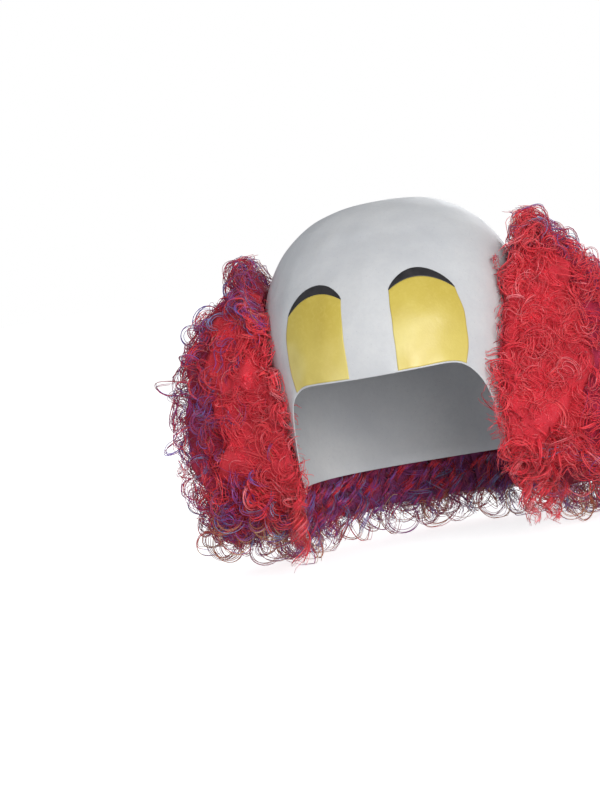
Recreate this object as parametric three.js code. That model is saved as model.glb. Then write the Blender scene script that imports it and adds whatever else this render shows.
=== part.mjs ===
// Clown wig: a latex bald cap with painted brow panels and thirteen upright wefts of curly hair.
//
// Units are millimetres, +Z is up and the front faces -Y. The origin is the inside of the crown, where
// the top of the head sits. "Angle" runs round the head from 0 at the front to 180 degrees at the back,
// positive on the +X side. "Depth" is measured straight down from the outer face of the crown.

import * as THREE from "three";

// Cap shell
const CAP_WALL = 1.0;
const CAP_HALF_WIDTH = 85;
const CAP_HALF_LENGTH = 100;
const SIDE_FULL_DEPTH = 82;
const FRONT_FULL_DEPTH = 115;
const BACK_FULL_DEPTH = 95;
const SIDE_ROUNDNESS = 2.55;
const FRONT_ROUNDNESS = 1.75;
const BACK_ROUNDNESS = 2.1;
const JAW_TAPER = 0.08;
const NAPE_TAPER = 0.22;
const TAPER_SPAN = 90;

// Cap edge: the brow line, the side flaps and the nape
const BROW_DEPTH = 104.5;
const FLAP_DEPTH = 173;
const NAPE_DEPTH = 176;
const FLAP_START_ANGLE = 24;
const FLAP_FRONT_ANGLE = 57;
const FLAP_CURVE_POWER = 3.75;
const EDGE_ROUNDING = 3;

// Painted panels and brows
const PAINT_FILM = 0.4;
const SURFACE_GAP = 0.35;
const PANEL_INNER_ANGLE = 10.6;
const PANEL_OUTER_ANGLE = 39.6;
const PANEL_SIDE_BULGE = 2.2;
const PANEL_EDGE_MARGIN = 0.8;
const BROW_INNER_END_DEPTH = 55.8;
const BROW_OUTER_END_DEPTH = 61.5;
const BROW_UPPER_RISE = 13.4;
const BROW_LOWER_RISE = 7.9;
const BROW_UPPER_ROUNDNESS = 0.75;
const BROW_TO_PANEL_GAP = 0.6;

// Hair wefts
const WEFTS_PER_SIDE = 6;
const WEFT_COUNT = 2 * WEFTS_PER_SIDE + 1;
const HAIRLINE_TOP_ANGLE = 65;
const HAIRLINE_LOW_ANGLE = 54;
const HAIRLINE_TOP_DEPTH = 45;
const HAIRLINE_LOW_DEPTH = 125;
const BAND_WIDTH = 5;
const BAND_THICKNESS = 1.2;
const BAND_GAP = 0.4;
const BAND_EDGE_MARGIN = 7;
const BAND_TOP_DROP = 16;
const CURLS_INNER_OFFSET = 3;
const CURLS_TOP_LIFT = 24;
const CURLS_TOP_FRONT_LIFT = 4;
const CURLS_TOP_LIFT_SHARE = 0.1;
const CURLS_BOTTOM_LIFT = 7;
const CURLS_THINNEST = 3;
const CURLS_THICKNESS = 78;
const CURLS_BACK_SHARE = 0.72;
const CURLS_FRONT_SHARE = 0.1;
const CURLS_FULLEST_ANGLE = 92;
const CURLS_WIDEST = 0.66;
const CURLS_TOP_DEPTH = 26;
const CURLS_BACK_TOP_DEPTH = 56;
const CURLS_BACK_ANGLE = 135;
const CURLS_FRONT_TOP_DROP = 30;
const CURLS_BOTTOM_DEPTH = 214;
const CURLS_FRONT_BOTTOM_RISE = 36;
const CURLS_SIDE_GAP_ANGLE = 0.5;
const CURLS_END_PINCH = 0.16;
const CURLS_CORNER_LOSS = 0.2;
const RED_WEFTS_PER_SIDE = 3;

// Fineness of the faceted surfaces
const DOME_ROWS = 11;
const LOW_ROWS = 5;
const DOME_ROWS_DEPTH = 94;
const PANEL_GRID = { columns: 10, rows: 7 };
const BROW_GRID = { columns: 14, rows: 2 };
const BAND_ROWS = 11;
const CURLS_LEVELS = 11;
const CURLS_INNER_POINTS = 4;
const CURLS_OUTER_POINTS = 7;

const radians = THREE.MathUtils.degToRad;
const { smoothstep, lerp } = THREE.MathUtils;

// ---------------------------------------------------------------- cap surface

// Share of the full width or length that a dome has reached at a depth.
function domeShare(depth, fullDepth, roundness) {
  const left = Math.max(1 - depth / fullDepth, 0);
  return (1 - left * left) ** (1 / roundness);
}

// Half width, front length and back length of the cap's horizontal section at a depth.
function capSection(depth) {
  const low = Math.min(depth, NAPE_DEPTH);
  const jaw = JAW_TAPER * (Math.max(low - SIDE_FULL_DEPTH, 0) / TAPER_SPAN) ** 2;
  const nape = NAPE_TAPER * (Math.max(low - BACK_FULL_DEPTH, 0) / TAPER_SPAN) ** 2;
  return {
    side: CAP_HALF_WIDTH * domeShare(depth, SIDE_FULL_DEPTH, SIDE_ROUNDNESS) * (1 - jaw),
    front: CAP_HALF_LENGTH * domeShare(depth, FRONT_FULL_DEPTH, FRONT_ROUNDNESS),
    back: CAP_HALF_LENGTH * domeShare(depth, BACK_FULL_DEPTH, BACK_ROUNDNESS) * (1 - nape),
  };
}

// Point on the cap's outer face, or that far outside it in the horizontal plane.
function ringPoint(angle, depth, outset = 0) {
  const section = capSection(depth);
  const turn = radians(angle);
  const length = Math.cos(turn) > 0 ? section.front : section.back;
  return new THREE.Vector3(
    (section.side + outset) * Math.sin(turn),
    -(length + outset) * Math.cos(turn),
    CAP_WALL - depth,
  );
}

// Unit vectors on the cap's outer face: along the level line, and straight out.
function capDirections(angle, depth) {
  const step = 0.05;
  const here = Math.max(depth, 2 * step);
  const along = ringPoint(angle + step, here).sub(ringPoint(angle - step, here)).normalize();
  const down = ringPoint(angle, here + step).sub(ringPoint(angle, here - step)).normalize();
  return { along, out: down.cross(along).normalize() };
}

// Point that lies straight out from the cap's face by an offset, negative for inside it.
function capPoint(angle, depth, offset, sideways = 0) {
  if (depth === 0) {
    return new THREE.Vector3(0, 0, CAP_WALL + offset);
  }
  const { along, out } = capDirections(angle, depth);
  return ringPoint(angle, depth).addScaledVector(out, offset).addScaledVector(along, sideways);
}

// Depth of the cap's edge: nearly level over the brows, steep along the flap's front, level at the nape.
function edgeDepth(angle) {
  const turn = Math.abs(angle);
  const climb = Math.max(turn - FLAP_START_ANGLE, 0) / (FLAP_FRONT_ANGLE - FLAP_START_ANGLE);
  const front = BROW_DEPTH + (FLAP_DEPTH - BROW_DEPTH) * climb ** FLAP_CURVE_POWER;
  const rear = lerp(FLAP_DEPTH, NAPE_DEPTH, smoothstep(turn, 90, 180));
  const lower = Math.min(front, rear);
  const spread = Math.exp(-Math.abs(front - rear) / EDGE_ROUNDING);
  return lower - EDGE_ROUNDING * Math.log(1 + spread);
}

// ---------------------------------------------------------------- closed bodies

// Collects triangles and leaves out those with no area, at a pole or a pointed end.
class BodyBuilder {
  constructor() {
    this.positions = [];
  }

  triangle(a, b, c) {
    const tiny = 1e-6;
    if (a.distanceTo(b) < tiny || b.distanceTo(c) < tiny || c.distanceTo(a) < tiny) {
      return;
    }
    this.positions.push(...a, ...b, ...c);
  }

  quad(a, b, c, d) {
    this.triangle(a, b, c);
    this.triangle(a, c, d);
  }

  geometry() {
    const geometry = new THREE.BufferGeometry();
    geometry.setAttribute("position", new THREE.Float32BufferAttribute(this.positions, 3));
    geometry.computeVertexNormals();
    return geometry;
  }
}

// Sheet with two faces, given as rows of points from top to bottom and columns towards +X at the front.
// A ring's last column joins its first; every other border gets a wall between the faces.
function sheetBody(outer, inner, isRing) {
  const body = new BodyBuilder();
  const last = outer.length - 1;
  const columns = outer[0].length;
  const spans = isRing ? columns : columns - 1;
  for (let row = 0; row < last; row += 1) {
    for (let column = 0; column < spans; column += 1) {
      const next = (column + 1) % columns;
      body.quad(outer[row][column], outer[row + 1][column], outer[row + 1][next], outer[row][next]);
      body.quad(inner[row][column], inner[row][next], inner[row + 1][next], inner[row + 1][column]);
    }
    if (!isRing) {
      const end = columns - 1;
      body.quad(inner[row][0], inner[row + 1][0], outer[row + 1][0], outer[row][0]);
      body.quad(outer[row][end], outer[row + 1][end], inner[row + 1][end], inner[row][end]);
    }
  }
  for (let column = 0; column < spans; column += 1) {
    const next = (column + 1) % columns;
    body.quad(outer[last][column], inner[last][column], inner[last][next], outer[last][next]);
    body.quad(outer[0][next], inner[0][next], inner[0][column], outer[0][column]);
  }
  return body.geometry();
}

// Solid through a stack of loops from top to bottom, each anticlockwise from above, with a fan at each end.
function loftBody(loops) {
  const body = new BodyBuilder();
  const count = loops[0].length;
  const centre = (loop) => loop.reduce((sum, p) => sum.add(p), new THREE.Vector3()).divideScalar(count);
  const top = centre(loops[0]);
  const bottom = centre(loops.at(-1));
  for (let i = 0; i < count; i += 1) {
    const j = (i + 1) % count;
    body.triangle(top, loops[0][i], loops[0][j]);
    body.triangle(bottom, loops.at(-1)[j], loops.at(-1)[i]);
    for (let level = 0; level < loops.length - 1; level += 1) {
      body.quad(loops[level][i], loops[level + 1][i], loops[level + 1][j], loops[level][j]);
    }
  }
  return body.geometry();
}

// Evenly spaced values from one end to the other, both included.
function steps(from, to, count) {
  return Array.from({ length: count + 1 }, (_, i) => lerp(from, to, i / count));
}

// ---------------------------------------------------------------- latex cap

// Angles are closer together where the edge drops down the front of each flap.
function capAngles() {
  const half = [
    ...steps(0, 28, 5),
    ...steps(28, 44, 4).slice(1),
    ...steps(44, 62, 9).slice(1),
    ...steps(62, 180, 17).slice(1),
  ];
  const mirrored = half.slice(1, -1).map((angle) => -angle).reverse();
  return [...mirrored, ...half];
}

// Depths are closer together near the crown, and the last rows follow the edge.
function capDepths(angle) {
  const dome = steps(0, 90, DOME_ROWS).map((turn) => DOME_ROWS_DEPTH * (1 - Math.cos(radians(turn))));
  return [...dome, ...steps(DOME_ROWS_DEPTH, edgeDepth(angle), LOW_ROWS).slice(1)];
}

function latexCap() {
  const angles = capAngles();
  const rowCount = capDepths(0).length;
  const face = (offset) => Array.from({ length: rowCount }, (_, row) => (
    angles.map((angle) => capPoint(angle, capDepths(angle)[row], offset))
  ));
  return sheetBody(face(0), face(-CAP_WALL), true);
}

// ---------------------------------------------------------------- painted panels and brows

// Depth of a brow's upper or lower outline; share runs from the inner end to the outer end.
function browDepth(share, rise, roundness) {
  const baseline = lerp(BROW_INNER_END_DEPTH, BROW_OUTER_END_DEPTH, share);
  return baseline - rise * Math.max(4 * share * (1 - share), 0) ** roundness;
}

// Thin film on the cap between two outlines, on the side given by sign.
function paintFilm(sign, grid, angleAt, topAt, bottomAt) {
  const face = (offset) => steps(0, 1, grid.rows).map((down) => {
    const row = steps(0, 1, grid.columns).map((share) => {
      const angle = sign * angleAt(share, down);
      const depth = lerp(topAt(share), bottomAt(share, angle), down);
      return capPoint(angle, depth, offset);
    });
    return sign > 0 ? row : row.reverse();
  });
  return sheetBody(face(SURFACE_GAP + PAINT_FILM), face(SURFACE_GAP), false);
}

function eyelidPanel(sign) {
  const angleAt = (share, down) => {
    const outer = PANEL_OUTER_ANGLE + PANEL_SIDE_BULGE * Math.sin(Math.PI * down);
    return lerp(PANEL_INNER_ANGLE, outer, share);
  };
  const topAt = (share) => browDepth(share, BROW_LOWER_RISE, 1) + BROW_TO_PANEL_GAP;
  const bottomAt = (share, angle) => edgeDepth(angle) - PANEL_EDGE_MARGIN;
  return paintFilm(sign, PANEL_GRID, angleAt, topAt, bottomAt);
}

function browCrescent(sign) {
  const angleAt = (share) => lerp(PANEL_INNER_ANGLE, PANEL_OUTER_ANGLE, share);
  const topAt = (share) => browDepth(share, BROW_UPPER_RISE, BROW_UPPER_ROUNDNESS);
  const bottomAt = (share) => browDepth(share, BROW_LOWER_RISE, 1);
  return paintFilm(sign, BROW_GRID, angleAt, topAt, bottomAt);
}

// ---------------------------------------------------------------- hair wefts

// Angle of the front hairline: it leans forward lower down.
function hairlineAngle(depth) {
  const lean = smoothstep(depth, HAIRLINE_TOP_DEPTH, HAIRLINE_LOW_DEPTH);
  return lerp(HAIRLINE_TOP_ANGLE, HAIRLINE_LOW_ANGLE, lean);
}

// Angle of the border after a number of wefts, counted from the hairline on the +X side.
function weftAngle(number, depth) {
  const front = hairlineAngle(depth);
  return lerp(front, 360 - front, number / WEFT_COUNT);
}

// How far a lobe of curls stands out, as a share of its thickest place: 0 at its top and at its bottom.
function curlsEnvelope(share) {
  if (share < CURLS_WIDEST) {
    const rise = 1 - share / CURLS_WIDEST;
    return (1 - rise ** 1.8) ** (1 / 1.8);
  }
  const fall = (share - CURLS_WIDEST) / (1 - CURLS_WIDEST);
  return Math.sqrt(1 - fall ** 3.4);
}

// Angle from the front, from 0 to 180 on either side.
function angleFromFront(angle) {
  return 180 - Math.abs(180 - angle);
}

// Hair is short at the hairline, fullest beside the ears and a little flatter at the back.
function fullness(angle) {
  const turn = angleFromFront(angle);
  const swing = THREE.MathUtils.clamp(
    (turn - HAIRLINE_LOW_ANGLE) / (CURLS_FULLEST_ANGLE - HAIRLINE_LOW_ANGLE), 0, 1);
  const swell = Math.sin(radians(90 * swing)) ** 1.3;
  const behind = smoothstep(turn, CURLS_FULLEST_ANGLE, 180);
  return lerp(CURLS_FRONT_SHARE, 1, swell) * lerp(1, CURLS_BACK_SHARE, behind);
}

// Depth where a weft's curls begin: highest beside the temples, lower in front of them and at the back.
function curlsTopDepth(number) {
  const turn = angleFromFront(weftAngle(number + 0.5, HAIRLINE_TOP_DEPTH));
  const front = CURLS_FRONT_TOP_DROP * (1 - smoothstep(turn, HAIRLINE_LOW_ANGLE, CURLS_FULLEST_ANGLE));
  const behind = smoothstep(turn, CURLS_FULLEST_ANGLE, CURLS_BACK_ANGLE);
  return lerp(CURLS_TOP_DEPTH, CURLS_BACK_TOP_DEPTH, behind) + front;
}

// Depth where a weft's curls end: a little higher beside the face than beside the ears.
function curlsBottomDepth(number) {
  const turn = angleFromFront(weftAngle(number + 0.5, HAIRLINE_TOP_DEPTH));
  const front = 1 - smoothstep(turn, HAIRLINE_LOW_ANGLE, CURLS_FULLEST_ANGLE);
  return CURLS_BOTTOM_DEPTH - CURLS_FRONT_BOTTOM_RISE * front;
}

// Sewn strip that holds the fibres, bonded along the middle of its lobe of curls.
function weftBand(number) {
  const middle = (depth) => weftAngle(number + 0.5, depth);
  const bottom = edgeDepth(angleFromFront(middle(FLAP_DEPTH))) - BAND_EDGE_MARGIN;
  const rows = steps(curlsTopDepth(number) + BAND_TOP_DROP, bottom, BAND_ROWS);
  const face = (offset) => rows.map((depth) => (
    [-0.5, 0.5].map((side) => capPoint(middle(depth), depth, offset, side * BAND_WIDTH))
  ));
  return sheetBody(face(BAND_GAP + BAND_THICKNESS), face(BAND_GAP), false);
}

// How far curls stand off the cap: they rise outwards at the top and hang free at the bottom.
function curlsInset(angle, share) {
  const atTop = lerp(CURLS_TOP_FRONT_LIFT, CURLS_TOP_LIFT, fullness(angle));
  const topLift = atTop * (1 - smoothstep(share, 0, CURLS_TOP_LIFT_SHARE));
  return CURLS_INNER_OFFSET + topLift + CURLS_BOTTOM_LIFT * smoothstep(share, 0.88, 1);
}

// Level outline of a lobe of curls: its inner side follows the cap, its outer side bulges.
function curlsLoop(number, share) {
  const depth = lerp(curlsTopDepth(number), curlsBottomDepth(number), share);
  const pinch = CURLS_END_PINCH * Math.abs(2 * share - 1) ** 6;
  const from = weftAngle(number + pinch, depth) + CURLS_SIDE_GAP_ANGLE;
  const to = weftAngle(number + 1 - pinch, depth) - CURLS_SIDE_GAP_ANGLE;
  const inner = steps(to, from, CURLS_INNER_POINTS - 1).map((angle) => (
    ringPoint(angle, depth, curlsInset(angle, share))
  ));
  const outer = steps(0, 1, CURLS_OUTER_POINTS - 1).map((side) => {
    const angle = lerp(from, to, side);
    const rounding = 1 - CURLS_CORNER_LOSS * Math.abs(2 * side - 1) ** 4;
    const reach = CURLS_THICKNESS * curlsEnvelope(share) * fullness(angle) * rounding;
    const thinnest = curlsInset(angle, share) + CURLS_THINNEST;
    return ringPoint(angle, depth, Math.max(reach, thinnest));
  });
  return [...inner, ...outer];
}

function curlsLobe(number) {
  const turns = steps(0, 180, CURLS_LEVELS).slice(1, -1);
  return loftBody(turns.map((turn) => curlsLoop(number, 0.5 - 0.5 * Math.cos(radians(turn)))));
}

// ---------------------------------------------------------------- assembly

const latex = { color: 0xd9dade, roughness: 0.45 };
const yellowPaint = { color: 0xe4cb55, roughness: 0.4 };
const blackPaint = { color: 0x1f1f22, roughness: 0.45 };
const bandCloth = { color: 0x7d1a26, roughness: 0.9 };
const redHair = { color: 0xc0202c, roughness: 0.6 };
const violetHair = { color: 0x5b3f80, roughness: 0.6 };

const wig = new THREE.Group();

function addPiece(name, geometry, finish) {
  const mesh = new THREE.Mesh(geometry, new THREE.MeshStandardMaterial({ ...finish, metalness: 0 }));
  mesh.name = name;
  wig.add(mesh);
}

// Weft names count from each temple towards the back, with one weft in the middle of the nape.
function weftName(number, piece) {
  if (number === WEFTS_PER_SIDE) {
    return `back_${piece}`;
  }
  const onRight = number < WEFTS_PER_SIDE;
  return onRight ? `right_${piece}_${number + 1}` : `left_${piece}_${WEFT_COUNT - number}`;
}

addPiece("latex_cap", latexCap(), latex);
addPiece("right_eyelid_paint", eyelidPanel(1), yellowPaint);
addPiece("left_eyelid_paint", eyelidPanel(-1), yellowPaint);
addPiece("right_brow_paint", browCrescent(1), blackPaint);
addPiece("left_brow_paint", browCrescent(-1), blackPaint);
for (let number = 0; number < WEFT_COUNT; number += 1) {
  const fromTemple = Math.min(number, WEFT_COUNT - 1 - number);
  const hair = fromTemple < RED_WEFTS_PER_SIDE ? redHair : violetHair;
  addPiece(weftName(number, "weft_band"), weftBand(number), bandCloth);
  addPiece(weftName(number, "curls"), curlsLobe(number), hair);
}

export default wig;
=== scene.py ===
import math
from collections import namedtuple

import bpy
import numpy as np
from mathutils import Matrix, Vector


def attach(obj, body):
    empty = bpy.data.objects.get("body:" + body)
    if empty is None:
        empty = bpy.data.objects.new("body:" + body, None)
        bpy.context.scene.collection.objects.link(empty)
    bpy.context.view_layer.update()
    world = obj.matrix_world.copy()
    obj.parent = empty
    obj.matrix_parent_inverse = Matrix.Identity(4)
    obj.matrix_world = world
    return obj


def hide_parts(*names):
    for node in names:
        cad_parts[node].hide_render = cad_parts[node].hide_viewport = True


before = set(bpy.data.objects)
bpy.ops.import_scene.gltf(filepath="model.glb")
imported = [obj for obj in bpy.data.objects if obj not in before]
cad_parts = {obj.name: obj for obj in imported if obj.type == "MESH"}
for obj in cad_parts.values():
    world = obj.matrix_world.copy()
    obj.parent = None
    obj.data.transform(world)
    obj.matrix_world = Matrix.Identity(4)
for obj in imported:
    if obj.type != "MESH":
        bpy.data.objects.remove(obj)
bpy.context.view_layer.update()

# Lengths are millimetres and angles are degrees, turned from the front of the head. The shape numbers
# repeat those of the CAD part, so that every piece fits its node. The camera, lights and floor are
# in metres. "Right" pieces are on the side of +X, and a share runs from 0 to 1.
MM = 0.001
SEED = 20

CAP_WALL = 1.0
CAP_HALF_WIDTH, CAP_HALF_LENGTH = 85.0, 100.0
SIDE_FULL_DEPTH, FRONT_FULL_DEPTH, BACK_FULL_DEPTH = 82.0, 115.0, 95.0
SIDE_ROUNDNESS, FRONT_ROUNDNESS, BACK_ROUNDNESS = 2.55, 1.75, 2.1
JAW_TAPER, NAPE_TAPER, TAPER_SPAN = 0.08, 0.22, 90.0
BROW_DEPTH, FLAP_DEPTH, NAPE_DEPTH = 104.5, 173.0, 176.0
FLAP_START_ANGLE, FLAP_FRONT_ANGLE, FLAP_CURVE_POWER = 24.0, 57.0, 3.75
EDGE_ROUNDING = 3.0
FLAP_BACK_ANGLE = 90.0

PANEL_INNER_ANGLE, PANEL_OUTER_ANGLE, PANEL_SIDE_BULGE = 10.6, 39.6, 2.2
PANEL_EDGE_MARGIN = 0.8
BROW_INNER_END_DEPTH, BROW_OUTER_END_DEPTH = 55.8, 61.5
BROW_UPPER_RISE, BROW_UPPER_ROUNDNESS = 13.4, 0.75
BROW_LOWER_RISE, BROW_LOWER_ROUNDNESS = 7.9, 1.0

WEFTS_PER_SIDE, WEFT_COUNT, RED_WEFTS_PER_SIDE = 6, 13, 3
HAIRLINE_TOP_ANGLE, HAIRLINE_LOW_ANGLE = 65.0, 54.0
HAIRLINE_TURN_DEPTHS = (45.0, 125.0)
BAND_WIDTH, BAND_THICKNESS, BAND_GAP = 5.0, 1.2, 0.4
BAND_EDGE_MARGIN, BAND_TOP_DROP = 7.0, 16.0
LEAST_DEPTH = 0.02

CURLS_INNER_OFFSET, CURLS_BOTTOM_LIFT, CURLS_THINNEST = 3.0, 7.0, 3.0
CURLS_TOP_LIFT, CURLS_TOP_FRONT_LIFT, CURLS_TOP_LIFT_SHARE = 24.0, 4.0, 0.1
CURLS_THICKNESS, CURLS_BACK_SHARE, CURLS_FRONT_SHARE = 78.0, 0.72, 0.1
CURLS_FULLEST_ANGLE, CURLS_BACK_ANGLE, CURLS_WIDEST = 92.0, 135.0, 0.66
CURLS_TOP_DEPTH, CURLS_BACK_TOP_DEPTH, CURLS_FRONT_TOP_DROP = 26.0, 56.0, 30.0
CURLS_BOTTOM_DEPTH, CURLS_FRONT_BOTTOM_RISE = 214.0, 36.0
CURLS_SIDE_GAP_ANGLE = 0.5
CURLS_SWELL_POWER, CURLS_UPPER_POWER, CURLS_LOWER_POWER = 1.3, 1.8, 3.4
CURLS_BOTTOM_LIFT_SHARE = 0.88
MIDDLE_DEPTH = 110.0

# A long lens, from slightly to the right of the front. The roll tips the head.
CAMERA_AZIMUTH, CAMERA_ELEVATION, CAMERA_ROLL = 11.586, 3.0, 10.426
CAMERA_DISTANCE, CAMERA_LENS, CAMERA_SENSOR = 1.700, 119.5, 36.0
CAMERA_TARGET = (0.0, 0.0, -0.109)
AIM_RIGHT, AIM_UP = -0.0701, -0.00598
CAMERA_NEAR, CAMERA_FAR = 0.05, 200.0

LIGHT_AIM = (0.0, 0.0, -0.11)
LIGHTS = (  # name, place, diameter, watts, colour
    ("key", (1.0, -1.58, 0.22), 1.1, 29.5, (1.0, 0.985, 0.97)),
    ("fill", (-1.3, -1.4, 0.0), 1.0, 5.6, (0.97, 0.97, 1.0)),
    ("back", (0.2, 1.9, 0.5), 1.2, 9.0, (0.97, 0.98, 1.0)),
)
WHITE, SKY_COLOUR, SKY_STRENGTH = (1.0, 1.0, 1.0, 1.0), (0.92, 0.95, 1.0, 1.0), 0.46
FLOOR_HEIGHT, FLOOR_HALF_WIDTH = -0.2235, 20.0
FLOOR_GREY, FLOOR_GLOW = 0.85, 0.75


# ---- shapes

def lerp(start, end, share):
    return start + (end - start) * share


def ease(value, low, high):
    """A smooth step from 0 at low to 1 at high."""
    share = np.clip((value - low) / (high - low), 0.0, 1.0)
    return share * share * (3 - 2 * share)


def unit(vectors):
    return vectors / np.maximum(np.linalg.norm(vectors, axis=-1, keepdims=True), 1e-9)


def dot(a, b):
    return (a * b).sum(-1, keepdims=True)


def from_front(angle):
    return 180.0 - np.abs(180.0 - np.mod(angle, 360.0))


def dome_share(depth, full_depth, roundness):
    return (1 - np.maximum(1 - depth / full_depth, 0.0) ** 2) ** (1 / roundness)


def cap_section(depth):
    low = np.minimum(depth, NAPE_DEPTH)
    jaw = JAW_TAPER * (np.maximum(low - SIDE_FULL_DEPTH, 0.0) / TAPER_SPAN) ** 2
    nape = NAPE_TAPER * (np.maximum(low - BACK_FULL_DEPTH, 0.0) / TAPER_SPAN) ** 2
    side = CAP_HALF_WIDTH * dome_share(depth, SIDE_FULL_DEPTH, SIDE_ROUNDNESS) * (1 - jaw)
    front = CAP_HALF_LENGTH * dome_share(depth, FRONT_FULL_DEPTH, FRONT_ROUNDNESS)
    back = CAP_HALF_LENGTH * dome_share(depth, BACK_FULL_DEPTH, BACK_ROUNDNESS) * (1 - nape)
    return side, front, back


def ring_point(angle, depth, outset=0.0):
    side, front, back = cap_section(depth)
    turn = np.radians(angle)
    length = np.where(np.cos(turn) > 0, front, back)
    x, y = (side + outset) * np.sin(turn), -(length + outset) * np.cos(turn)
    return np.stack(np.broadcast_arrays(x, y, CAP_WALL - depth), -1)


def cap_directions(angle, depth):
    """Unit vectors out of the cap and along it, towards a larger angle."""
    depth = np.maximum(depth, LEAST_DEPTH)
    along = ring_point(angle + 0.5, depth) - ring_point(angle - 0.5, depth)
    down = ring_point(angle, depth * 1.01) - ring_point(angle, depth * 0.99)
    return unit(np.cross(down, along)), unit(along)


def cap_point(angle, depth, offset):
    out, _ = cap_directions(angle, depth)
    return ring_point(angle, depth) + out * np.asarray(offset)[..., None]


def edge_depth(angle):
    turn = from_front(angle)
    climb = np.maximum(turn - FLAP_START_ANGLE, 0.0) / (FLAP_FRONT_ANGLE - FLAP_START_ANGLE)
    front = BROW_DEPTH + (FLAP_DEPTH - BROW_DEPTH) * climb ** FLAP_CURVE_POWER
    rear = lerp(FLAP_DEPTH, NAPE_DEPTH, ease(turn, FLAP_BACK_ANGLE, 180.0))
    gap = np.abs(front - rear) / EDGE_ROUNDING
    return np.minimum(front, rear) - EDGE_ROUNDING * np.log1p(np.exp(-gap))


def brow_depth(share, rise, roundness):
    ends = lerp(BROW_INNER_END_DEPTH, BROW_OUTER_END_DEPTH, share)
    return ends - rise * (4 * share * (1 - share)) ** roundness


def hairline_angle(depth):
    return lerp(HAIRLINE_TOP_ANGLE, HAIRLINE_LOW_ANGLE, ease(depth, *HAIRLINE_TURN_DEPTHS))


def weft_angle(number, depth):
    front = hairline_angle(depth)
    return lerp(front, 360.0 - front, number / WEFT_COUNT)


def front_share(angle):
    return 1 - ease(from_front(angle), HAIRLINE_LOW_ANGLE, CURLS_FULLEST_ANGLE)


def hair_top(angle):
    behind = ease(from_front(angle), CURLS_FULLEST_ANGLE, CURLS_BACK_ANGLE)
    top = lerp(CURLS_TOP_DEPTH, CURLS_BACK_TOP_DEPTH, behind)
    return top + CURLS_FRONT_TOP_DROP * front_share(angle)


def hair_bottom(angle):
    return CURLS_BOTTOM_DEPTH - CURLS_FRONT_BOTTOM_RISE * front_share(angle)


def hair_fullness(angle):
    turn = from_front(angle)
    swing = np.clip((turn - HAIRLINE_LOW_ANGLE) / (CURLS_FULLEST_ANGLE - HAIRLINE_LOW_ANGLE), 0, 1)
    swell = np.sin(0.5 * np.pi * swing) ** CURLS_SWELL_POWER
    behind = ease(turn, CURLS_FULLEST_ANGLE, 180.0)
    return lerp(CURLS_FRONT_SHARE, 1.0, swell) * lerp(1.0, CURLS_BACK_SHARE, behind)


def hair_profile(share):
    share = np.clip(share, 0.0, 1.0)
    upper = 1 - np.maximum(1 - share / CURLS_WIDEST, 0.0) ** CURLS_UPPER_POWER
    fall = np.maximum((share - CURLS_WIDEST) / (1 - CURLS_WIDEST), 0.0)
    lower = np.sqrt(np.maximum(1 - fall ** CURLS_LOWER_POWER, 0.0))
    return np.where(share < CURLS_WIDEST, upper ** (1 / CURLS_UPPER_POWER), lower)


def hair_inset(angle, share):
    at_top = lerp(CURLS_TOP_FRONT_LIFT, CURLS_TOP_LIFT, hair_fullness(angle))
    top = at_top * (1 - ease(share, 0.0, CURLS_TOP_LIFT_SHARE))
    bottom = CURLS_BOTTOM_LIFT * ease(share, CURLS_BOTTOM_LIFT_SHARE, 1.0)
    return CURLS_INNER_OFFSET + top + bottom


def hair_lift(angle, share):
    full = CURLS_THICKNESS * hair_profile(share) * hair_fullness(angle)
    return np.maximum(full, hair_inset(angle, share) + CURLS_THINNEST)


def hair_depth(angle, share):
    return lerp(hair_top(angle), hair_bottom(angle), share)


def hair_point(angle, share, reach=1.0):
    """A point of the hair, level with its place on the cap; reach 1 is the rounded surface."""
    return ring_point(angle, hair_depth(angle, share), hair_lift(angle, share) * reach)


def hair_out(angle, share):
    """The unit vector straight out of the hair's rounded surface."""
    low, high = np.clip(share - 0.01, 0, 1), np.clip(share + 0.01, 0, 1)
    along = hair_point(angle + 1.0, share) - hair_point(angle - 1.0, share)
    down = hair_point(angle, high) - hair_point(angle, low)
    return unit(np.cross(down, along))


# ---- meshes

WAVE_COUNT, WAVE_HEIGHT = 7, 0.9


def add_object(name, vertices, quads, triangles=None, materials=(), slots=None):
    """One mesh object from millimetre vertices and arrays of faces."""
    triangles = np.zeros((0, 3), int) if triangles is None else triangles
    loops = np.concatenate([quads.ravel(), triangles.ravel()]).astype(np.int32)
    starts = np.concatenate([np.arange(len(quads)) * 4, len(quads) * 4 + np.arange(len(triangles)) * 3])
    mesh = bpy.data.meshes.new(name)
    mesh.vertices.add(len(vertices))
    mesh.vertices.foreach_set("co", (vertices * MM).astype(np.float32).ravel())
    mesh.loops.add(len(loops))
    mesh.loops.foreach_set("vertex_index", loops)
    mesh.polygons.add(len(starts))
    mesh.polygons.foreach_set("loop_start", starts.astype(np.int32))
    for material in materials:
        mesh.materials.append(material)
    if slots is not None:
        mesh.polygons.foreach_set("material_index", slots.astype(np.int32))
    mesh.polygons.foreach_set("use_smooth", np.full(len(starts), True))
    mesh.update(calc_edges=True)
    thing = bpy.data.objects.new(name, mesh)
    bpy.context.scene.collection.objects.link(thing)
    return thing


def grid_quads(rows, columns, wrap=False):
    """Quads of a grid whose vertices run along a row first."""
    row, column = np.meshgrid(np.arange(rows - 1), np.arange(columns - (not wrap)), indexing="ij")
    across = (column + 1) % columns
    a, b = row * columns + column, row * columns + across
    return np.stack([a, b, b + columns, a + columns], -1).reshape(-1, 4)


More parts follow.
